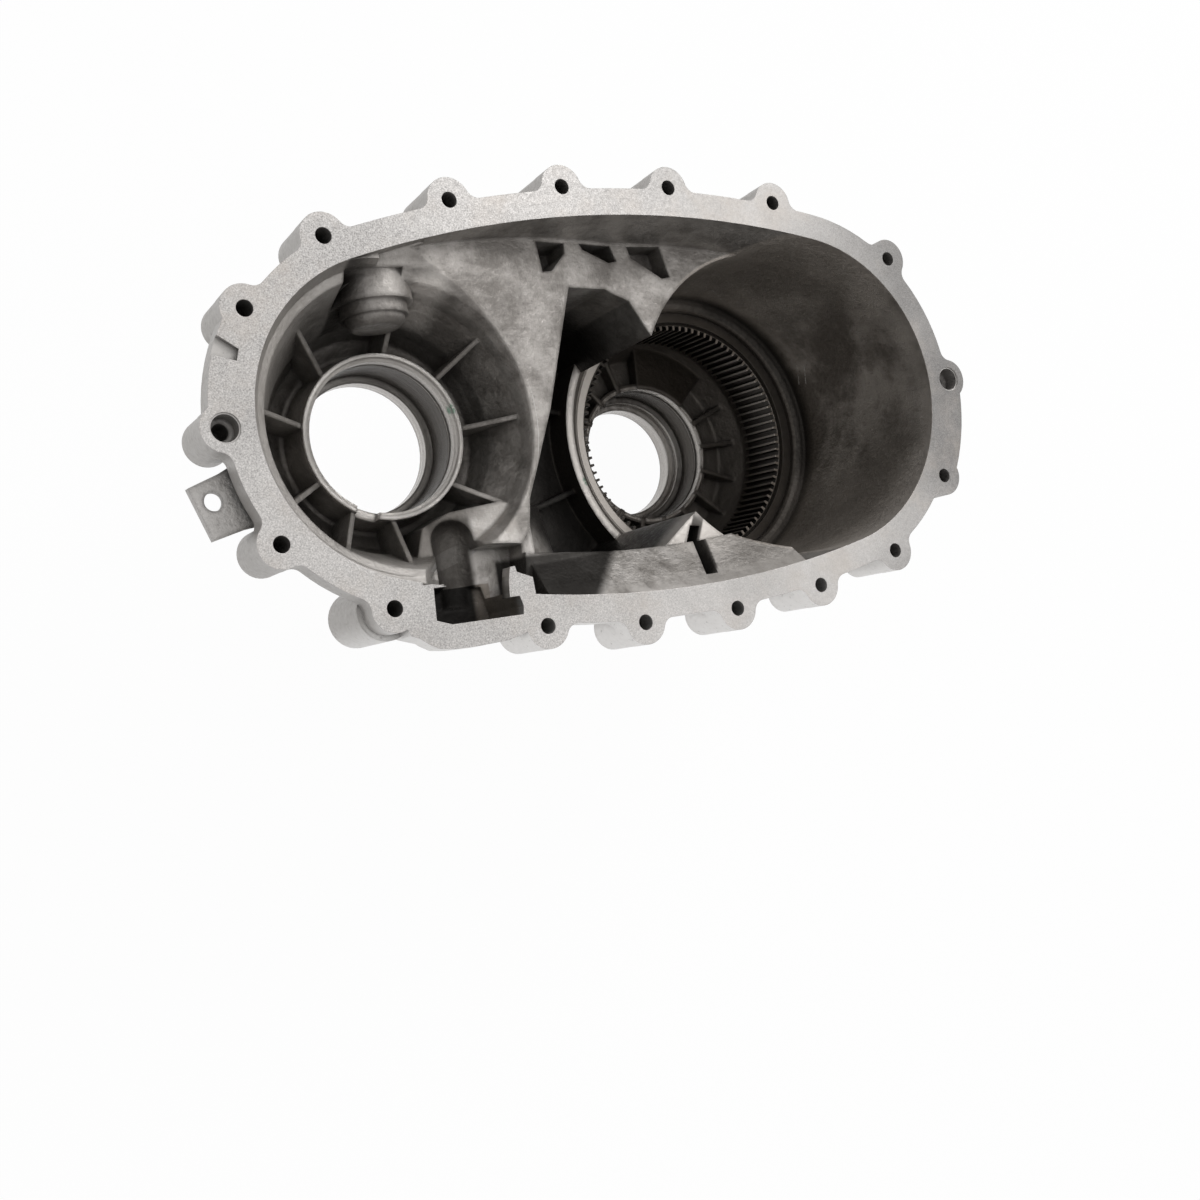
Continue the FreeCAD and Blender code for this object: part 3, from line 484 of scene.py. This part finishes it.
def inner_skin(g, p, n):
    """As-cast skin inside, with painted light making it paler on the lower side and just under the face at
    the output end, and painted shade making the bowl's wall darker.
    """
    inner = g.blend(g.ramp(n.cloud, 0.38, 0.64), grey(0.16, 0.08), grey(0.33, 0.06))
    # Painted light: the walls on the lower side get a pale streaked tone, less pale towards the right.
    lower_side_light = g.blend(g.ramp(n.streak, 0.40, 0.62), grey(0.62, 0.05), grey(0.34, 0.07))
    lower_side_light = g.blend(g.ramp(p.x, *LOWER_SIDE_X, 0.0, 0.75), lower_side_light, grey(0.30, 0.07))
    inner = g.blend(g.times(g.ramp(p.y, *LOWER_SIDE_Y), 0.75), inner, lower_side_light)
    inner = g.blend(g.ramp(n.wipe, 0.50, 0.66, 0.0, 0.45), inner, grey(0.38, 0.06))
    inner = g.blend(g.ramp(n.streak, 0.52, 0.78, 0.0, 0.5), inner, grey(0.12, 0.10))
    inner = g.blend(g.ramp(p.x, *BOWL_LEFT_X, 0.0, 0.6), inner, grey(0.42, 0.07))
    inner = g.blend(g.ramp(n.fine, 0.62, 0.72, 0.0, 0.35), inner, grey(0.08, 0.05))
    # Painted light: the shallow wall just under the face is paler, fading with depth.
    pale = g.times(g.ramp(p.depth, *LIT_SHALLOW_DEPTH, 0.85, 0.0), g.ramp(p.x, *LIT_SHALLOW_X, 1.0, 0.0))
    pale = g.times(pale, g.ramp(p.y, *LIT_SHALLOW_Y, 1.0, 0.30))
    inner = g.blend(pale, inner, grey(0.46, 0.05))
    # Painted shade: the bowl's wall is darkened, less so on its lit lower right.
    wall = g.times(p.below(p.output_radius, BOWL_WALL_RADIUS, 0.003), g.ramp(p.depth, *BOWL_WALL_DEPTH))
    wall = g.times(wall, g.ramp(p.x, *BOWL_WALL_X, 0.30, 0.85), g.ramp(p.x, *BOWL_WALL_END_X, 1.0, 0.0))
    lit_low = g.times(g.ramp(p.y, *BOWL_LOW_Y), g.ramp(p.x, *BOWL_LOW_X))
    wall = g.times(wall, g.less(1.0, g.times(lit_low, 0.7)))
    return g.blend(wall, inner, g.blend(n.streak, grey(0.10, 0.10), grey(0.19, 0.08)))


def pocket_stain_and_light(g, p, n, below):
    """Patchy oil on the pocket wall, with painted light making it lighter at its top and bottom in the view
    and near the face.
    """
    dark = g.blend(g.ramp(n.patch, 0.40, 0.60), grey(0.105, 0.15), grey(0.34, 0.10))
    dark = g.blend(g.ramp(n.cloud, 0.48, 0.66, 0.0, 0.6), dark, grey(0.10, 0.16))
    dark = g.blend(g.ramp(n.fine, 0.60, 0.72, 0.0, 0.5), dark, grey(0.07, 0.16))
    # Painted light: the wall is lighter towards its top and bottom ends and near the face.
    lit_end = g.most(g.ramp(p.y, *POCKET_TOP_Y), g.ramp(p.y, *POCKET_LOW_Y, 0.0, 1.2))
    dark = g.blend(g.times(lit_end, 0.5), dark, grey(0.42, 0.10))
    near_face_light = g.ramp(p.depth, *NEAR_FACE_DEPTH, 1.0, 0.0)
    near_face_light = g.times(near_face_light, g.ramp(p.y, *NEAR_FACE_Y, 0.45, 1.0))
    near_face_light = g.times(near_face_light, g.ramp(n.patch, 0.30, 0.62, 0.35, 1.0))
    dark = g.blend(near_face_light, dark, grey(0.52, 0.08))
    zone = p.between(p.input_radius, *POCKET_WALL_RADIUS, 0.0006)
    return g.blend(g.times(zone, g.ramp(p.x, *POCKET_WALL_X)), below, dark)


def bay_painted_shade(g, p, n, below):
    """Painted shade in the deep bay, darker with depth. It starts higher in the corner at the ledge than
    along the upper side.
    """
    # Painted shade: a near-black tone that deepens with depth and in the corner at the ledge.
    dark = g.blend(n.cloud, grey(0.010, 0.10), grey(0.030, 0.10))
    depth = g.less(p.depth, g.ramp(p.y, *BAY_UPPER_Y, 0.0, BAY_UPPER_START))
    slow = g.ramp(depth, *BAY_SLOW_DEPTH)
    quick = g.ramp(depth, *BAY_QUICK_DEPTH)
    fall = g.pick(g.ramp(p.y, *BAY_QUICK_Y), quick, slow)
    corner = g.times(g.ramp(p.y, *BAY_CORNER_Y), g.ramp(p.depth, *BAY_CORNER_DEPTH))
    corner = g.times(corner, g.ramp(p.x, *BAY_CORNER_X))
    fall = g.most(fall, g.times(corner, g.ramp(p.y, *BAY_CORNER_END_Y, 1.0, 0.0)))
    left_of_pocket = g.ramp(p.x, *BAY_SHADE_X, 1.0, 0.0)
    return g.blend(g.times(left_of_pocket, g.ramp(p.output_radius, *BAY_SHADE_RADIUS), fall), below, dark)


def low_painted_shade(g, p, n, below):
    """Painted shade on the deep floor of the pocket, darkest on the far side."""
    # Painted shade: a dark tone deep in the pocket, darkest on the far side.
    dark = g.blend(n.cloud, grey(0.070, 0.12), grey(0.17, 0.10))
    far_side = g.times(g.ramp(p.input_radius, *FAR_SIDE_RADIUS), g.ramp(p.x, *FAR_SIDE_X, 0.0, 0.85))
    dark = g.blend(g.times(far_side, g.ramp(p.y, *FAR_SIDE_Y)), dark, grey(0.022, 0.12))
    zone = g.times(g.ramp(p.depth, *LOW_DEPTH), p.below(p.input_radius, POCKET_EDGE))
    return g.blend(zone, below, dark)


def shaded_forms(g, p, n, below):
    """Dark and light sides of the hanging boss, the fill, the bank's peak and the bowl's lower right."""
    shade_x = g.times(g.ramp(p.x, *BOSS_SHADE_X, 0.85, 0.0), g.ramp(p.x, *BOSS_SHADE_START_X))
    shade = g.times(p.between(p.y, *BOSS_Y, 0.003), g.ramp(p.depth, *BOSS_DEPTH, 1.0, 0.0), shade_x)
    colour = g.blend(shade, below, grey(0.035, 0.10))
    light = g.times(p.between(p.y, *BOSS_LIGHT_Y, 0.004), g.ramp(p.depth, *FORM_LIGHT_DEPTH, 0.8, 0.0))
    colour = g.blend(g.times(light, p.between(p.x, *BOSS_LIGHT_X, 0.006)), colour, grey(0.62, 0.06))
    fill = g.times(p.between(p.x, *FILL_X, 0.003), p.between(p.y, *FILL_Y, 0.005))
    fill = g.times(fill, g.ramp(p.depth, *FORM_LIGHT_DEPTH, 0.85, 0.0))
    fill_tone = g.blend(g.ramp(n.streak, 0.40, 0.62), grey(0.54, 0.05), grey(0.36, 0.07))
    colour = g.blend(fill, colour, fill_tone)
    colour = g.blend(g.times(p.near(PEAK_MIDDLE, PEAK_SIZE, 0.7), 0.8), colour, grey(0.62, 0.06))
    bowl = g.times(p.near(BOWL_LIGHT_MIDDLE, BOWL_LIGHT_SIZE, 0.8), g.ramp(p.x, *BOWL_LIGHT_END_X, 0.8, 0.0))
    bowl_tone = g.blend(g.ramp(n.wipe, 0.40, 0.62), grey(0.40, 0.06), grey(0.70, 0.05))
    return g.blend(bowl, colour, bowl_tone)


def trough_and_bank(g, p, n, inside, below):
    """Painted shade in the trough, slot and window, and a darker end of the bank."""
    # Painted shade in the trough.
    trough = g.times(p.between(p.x, *TROUGH_X, 0.002), p.between(p.y, *TROUGH_Y, 0.003))
    trough = g.times(trough, g.ramp(p.depth, *TROUGH_DEPTH))
    trough = g.times(trough, g.ramp(p.depth, SHELF_DEPTH, SHELF_DEPTH + 0.002, 1.0, 0.0))
    colour = g.blend(g.times(trough, 0.9), below, grey(0.070, 0.10))
    # The end of the bank is painted near-black.
    slant = g.less(p.x, g.times(p.depth, BANK_SLANT))
    bank = g.times(g.ramp(slant, *BANK_SPLIT, 1.0, 0.0), p.between(p.y, *BANK_Y, 0.002))
    bank = g.times(bank, g.times(inside, g.ramp(p.x, *BANK_START_X)))
    colour = g.blend(g.times(bank, g.ramp(n.patch, 0.3, 0.7, 1.0, 0.93)), colour, grey(0.026, 0.10))
    # Painted shade in the slot, on one side of it.
    slot_side = p.between(g.plus(p.x, g.times(p.y, SLOT_LEAN)), *SLOT_SIDE, 0.0008)
    slot = g.times(p.near(SLOT_MIDDLE, SLOT_SIZE, 0.3), slot_side)
    colour = g.blend(g.times(slot, 0.9), colour, grey(0.045, 0.10))
    # Painted shade in the window, lighter towards its right end.
    window = g.times(p.between(p.x, *WINDOW_X), p.between(p.y, *WINDOW_Y))
    window = g.times(window, p.between(p.depth, WINDOW_TOP, SHELF_DEPTH, 0.0035))
    window_tone = g.blend(g.ramp(p.x, *WINDOW_TONE_X), grey(0.010, 0.10), grey(0.26, 0.12))
    return g.blend(window, colour, window_tone)


def dark_sector_and_scratches(g, p, n, inside, below):
    """A dark sector round the input rim, and faint scratches on the pocket wall."""
    turn = g.math("ARCTAN2", p.y, p.x)
    start_angle, end_angle = (math.radians(angle) for angle in DARK_SECTOR_ANGLES)
    # A near-black tone is laid over this sector.
    sector = p.between(turn, start_angle, end_angle, 0.03)
    sector = g.times(sector, p.between(p.input_radius, *DARK_SECTOR_RADIUS, 0.001))
    sector = g.times(sector, g.times(inside, g.ramp(p.depth, *DARK_SECTOR_DEPTH)))
    colour = g.blend(sector, below, grey(0.035, 0.2))
    for start, finish in SCRATCHES:
        colour = g.blend(p.line(start, finish, SCRATCH_WIDTH, n.fine), colour, grey(0.46, 0.05))
    return colour


def rim_zone(g, p, rim, radius):
    return g.times(p.below(radius, rim["radius"]), p.between(p.depth, *rim["depth"]))


def turned_bores(g, p, n, zones, below):
    """Bright turned rims, dark bearing seats, grooves painted black as shade, and bright shaft bores."""
    streaks = g.ramp(n.turned, 0.35, 0.65)
    rim_tone = g.blend(streaks, grey(0.30, 0.08), grey(0.48, 0.05))
    seat_tone = g.blend(streaks, grey(0.035, 0.14), grey(0.085, 0.12))
    hole_tone = g.blend(streaks, grey(0.34, 0.07), grey(0.60, 0.04))
    colour = below
    for zone, rim in zip(zones, (OUTPUT_RIM, INPUT_RIM)):
        groove = rim["groove"]
        below_groove = g.ramp(p.depth, groove[1], groove[1] + 0.001)
        colour = g.blend(zone, colour, rim_tone)
        colour = g.blend(g.times(zone, below_groove), colour, seat_tone)
        colour = g.blend(g.times(zone, p.past(rim["bore"])), colour, hole_tone)
        # Painted shade: each groove is painted near-black.
        colour = g.blend(g.times(zone, p.between(p.depth, *groove)), colour, grey(0.006))
    return colour


def ring_seat(g, p, n, inside, below):
    """Seat of the ring gear, with painted shade on its far side and painted light at its top on the near
    side, and the wall before it on the near side, with a painted highlight on its lip and painted shade on
    its back.
    """
    tone = g.blend(g.ramp(n.turned, 0.35, 0.65), grey(0.06, 0.14), grey(0.15, 0.12))
    # Painted shade: the far side of the seat is darker.
    tone = g.blend(g.ramp(p.x, *SEAT_FAR_X, 0.0, 0.6), tone, grey(0.030, 0.14))
    # Painted light: the near side of the seat is lighter near its top.
    lit_side = g.times(g.ramp(p.x, *LIT_SIDE_X), g.ramp(p.depth, *SEAT_LIT_DEPTH))
    tone = g.blend(lit_side, tone, grey(0.48, 0.07))
    seat = g.times(p.between(p.input_radius, *SEAT_RADIUS), p.between(p.depth, *SEAT_DEPTH))
    colour = g.blend(seat, below, tone)
    # Painted shade on the back of the wall and a painted highlight on its lip, on the near side.
    near_side = g.times(p.between(p.input_radius, *RING_WALL_RADIUS), g.ramp(p.x, *RING_WALL_X), inside)
    back = g.times(near_side, g.ramp(p.depth, *RING_BACK_DEPTH), g.ramp(p.input_radius, *RING_BACK_RADIUS))
    colour = g.blend(back, colour, grey(0.085, 0.12))
    return g.blend(g.times(near_side, p.between(p.depth, *RING_LIP_DEPTH)), colour, grey(0.56, 0.06))


def paint_and_crevice_shade(g, p, n, below):
    """Two worn marks of green paint, and painted shade in the corners."""
    green = g.most(p.near(GREEN_MARKS[0], GREEN_SIZE), p.near(GREEN_MARKS[1], GREEN_SIZE))
    green = g.times(green, g.ramp(n.fine, 0.38, 0.5, 0.0, 0.7))
    colour = g.blend(green, below, (0.035, 0.16, 0.09, 1.0))
    # Painted shade: corners darkened by an occlusion test.
    crevice_shade = g.ramp(g.crevices(CREVICE_SHADE_REACH), 0.25, 0.85, 0.72, 0.0)
    crevice_shade = g.times(crevice_shade, g.ramp(n.cloud, 0.30, 0.60, 0.55, 1.0))
    return g.blend(crevice_shade, colour, grey(0.030, 0.12))


def casting_relief(g, p, n, bright):
    """Rounded edges, cast lumps and pits, and fine rings in the bores."""
    rounding = g.pick(g.ramp(p.depth, *ROUNDING_DEPTH), FACE_ROUNDING, SKIN_ROUNDING)
    rough_skin = g.ramp(p.depth, *ROUGH_SKIN_DEPTH)
    lumps = g.times(g.less(n.cloud, 0.5), rough_skin)
    relief = g.bump(lumps, 0.45, 0.004, g.soft_edges(rounding))
    pits = g.times(g.less(n.fine, 0.5), g.pick(rough_skin, 0.2, 1.0))
    relief = g.bump(pits, 0.40, 0.0006, relief)
    relief = g.bump(g.times(n.turned, bright), 0.25, 0.0002, relief)
    return g.bump(n.sand, 0.15, 0.0002, relief)


def cast_aluminium(name):
    g = Graph(name)
    p = Place(g)
    n = Grain(g, p)
    inside = p.inside()
    # Oil stain on the pocket wall, with painted light and painted shade inside.
    stained_and_shaded = pocket_stain_and_light(g, p, n, inner_skin(g, p, n))
    stained_and_shaded = bay_painted_shade(g, p, n, stained_and_shaded)
    stained_and_shaded = low_painted_shade(g, p, n, stained_and_shaded)
    stained_and_shaded = shaded_forms(g, p, n, stained_and_shaded)
    colour = g.blend(inside, outer_skin(g, p, n), stained_and_shaded)
    colour = trough_and_bank(g, p, n, inside, colour)
    colour = dark_sector_and_scratches(g, p, n, inside, colour)
    zones = (rim_zone(g, p, OUTPUT_RIM, p.output_radius), rim_zone(g, p, INPUT_RIM, p.input_radius))
    colour = turned_bores(g, p, n, zones, colour)
    colour = ring_seat(g, p, n, inside, colour)
    colour = paint_and_crevice_shade(g, p, n, colour)
    on_face = g.times(g.ramp(p.depth, *FACE_DEPTH, 1.0, 0.0), g.ramp(p.rise, 0.85, 0.95))
    colour = g.blend(on_face, colour, milled_face(g, p, n))
    bright = g.most(*zones)
    roughness = g.pick(bright, g.ramp(n.fine, 0.3, 0.7, 0.40, 0.58), 0.24)
    shader = g.metal(colour, 0.72, roughness, casting_relief(g, p, n, bright))
    shader.inputs["Specular IOR Level"].default_value = 0.35
    return g.material


def gear_steel(name):
    """Dark oiled teeth, brighter on their tips from wear and a painted highlight, with their front ends
    painted dark as shade on the near side and bright as a highlight on the far side.
    """
    g = Graph(name)
    p = Place(g)
    cloud = g.noise(p.all, 40.0, 5.0, 0.6)
    fine = g.noise(p.all, 1200.0, 3.0, 0.6)
    root = g.blend(cloud, grey(0.020, 0.15), grey(0.050, 0.12))
    # Tips brighter from wear and a painted highlight.
    worn_and_sheen = g.blend(fine, grey(0.12, 0.12), grey(0.22, 0.10))
    colour = g.blend(p.below(p.input_radius, TOOTH_WEAR_AND_SHEEN_RADIUS, 0.0003), root, worn_and_sheen)
    # Painted shade on the front ends on the near side, painted highlight on those on the far side.
    front = g.times(g.ramp(p.depth, *TOOTH_FRONT_DEPTH), p.below(p.input_radius, TOOTH_FRONT_RADIUS))
    front_tone = g.blend(g.ramp(p.x, *TOOTH_FRONT_X), grey(0.035, 0.14), grey(0.42, 0.10))
    colour = g.blend(front, colour, front_tone)
    relief = g.bump(fine, 0.2, 0.0002, g.soft_edges(0.0003))
    g.metal(colour, 0.85, g.ramp(fine, 0.3, 0.7, 0.28, 0.48), relief)
    return g.material


def ring_steel(name):
    """Dark ring, with painted light making it brighter on the near side."""
    g = Graph(name)
    p = Place(g)
    cloud = g.noise(p.all, 60.0, 4.0, 0.6)
    fine = g.noise(p.all, 900.0, 3.0, 0.6)
    tone = g.blend(cloud, grey(0.05, 0.12), grey(0.14, 0.10))
    # Painted light: the near side is brighter.
    colour = g.blend(g.ramp(p.x, *LIT_SIDE_X), tone, grey(0.36, 0.08))
    relief = g.bump(fine, 0.2, 0.0002, g.soft_edges(0.0004))
    g.metal(colour, 0.85, g.ramp(fine, 0.3, 0.7, 0.30, 0.50), relief)
    return g.material


def dress(obj, material):
    obj.data.materials.clear()
    obj.data.materials.append(material)


dress(nodes["housing_casting"], cast_aluminium("cast_aluminium"))
dress(nodes["annulus_ring_gear"], gear_steel("gear_steel"))
dress(nodes["annulus_snap_ring"], ring_steel("ring_steel"))


def floor_material():
    """White where it is looked at or mirrored, with a small share of the shadow kept."""
    g = Graph("pale_floor")
    tone = g.noise(g.coordinates(), 3.0, 3.0, 0.5)
    shader = g.add("ShaderNodeBsdfPrincipled")
    g.link(g.blend(tone, grey(0.93), grey(0.95)), shader.inputs["Base Color"])
    shader.inputs["Roughness"].default_value = 0.9
    white = g.add("ShaderNodeEmission")
    path = g.add("ShaderNodeLightPath").outputs
    looked_at = g.most(path["Is Camera Ray"], path["Is Glossy Ray"])
    looked_at = g.most(looked_at, path["Is Transmission Ray"])
    mix = g.add("ShaderNodeMixShader")
    g.link(g.times(looked_at, WHITE_SHARE), mix.inputs[0])
    g.link(shader.outputs[0], mix.inputs[1])
    g.link(white.outputs[0], mix.inputs[2])
    g.link(mix.outputs[0], g.output.inputs["Surface"])
    return g.material


bpy.ops.mesh.primitive_plane_add(size=FLOOR_SIZE, location=(0, 0, 0))
floor = bpy.context.object
floor.name = "studio_floor"
dress(floor, floor_material())


def lamp(name, place, size, power):
    data = bpy.data.lights.new(name, "AREA")
    data.shape = "DISK"
    data.size = size
    data.energy = power
    obj = bpy.data.objects.new(name, data)
    bpy.context.scene.collection.objects.link(obj)
    obj.location = place
    obj.rotation_euler = (Vector(LIGHT_TARGET) - Vector(place)).to_track_quat("-Z", "Y").to_euler()


for name, place, size, power in LAMPS:
    lamp(name, place, size, power)


def studio_world():
    """Plain weak light on the object, white where it is looked at or mirrored."""
    world = bpy.data.worlds.new("studio")
    bpy.context.scene.world = world
    world.use_nodes = True
    tree = world.node_tree
    tree.nodes.clear()
    path = tree.nodes.new("ShaderNodeLightPath")
    join = tree.nodes.new("ShaderNodeMixShader")
    result = tree.nodes.new("ShaderNodeOutputWorld")
    for index, strength in enumerate((WORLD_STRENGTH, 1.0), start=1):
        light = tree.nodes.new("ShaderNodeBackground")
        light.inputs["Color"].default_value = (1, 1, 1, 1)
        light.inputs["Strength"].default_value = strength
        tree.links.new(light.outputs[0], join.inputs[index])
    looked_at = path.outputs["Is Camera Ray"]
    for ray in ("Is Glossy Ray", "Is Transmission Ray"):
        larger = tree.nodes.new("ShaderNodeMath")
        larger.operation = "MAXIMUM"
        tree.links.new(looked_at, larger.inputs[0])
        tree.links.new(path.outputs[ray], larger.inputs[1])
        looked_at = larger.outputs[0]
    tree.links.new(looked_at, join.inputs[0])
    tree.links.new(join.outputs[0], result.inputs["Surface"])


studio_world()

camera_data = bpy.data.cameras.new("camera")
camera_data.sensor_width = CAMERA_SENSOR
camera_data.lens = CAMERA_LENS
camera = bpy.data.objects.new("camera", camera_data)
bpy.context.scene.collection.objects.link(camera)
turn = Matrix((CAMERA_RIGHT, CAMERA_UP, CAMERA_BACK)).transposed()
camera.matrix_world = Matrix.Translation(CAMERA_PLACE) @ turn.normalized().to_4x4()
bpy.context.scene.camera = camera
bpy.context.scene.view_settings.view_transform = "Standard"

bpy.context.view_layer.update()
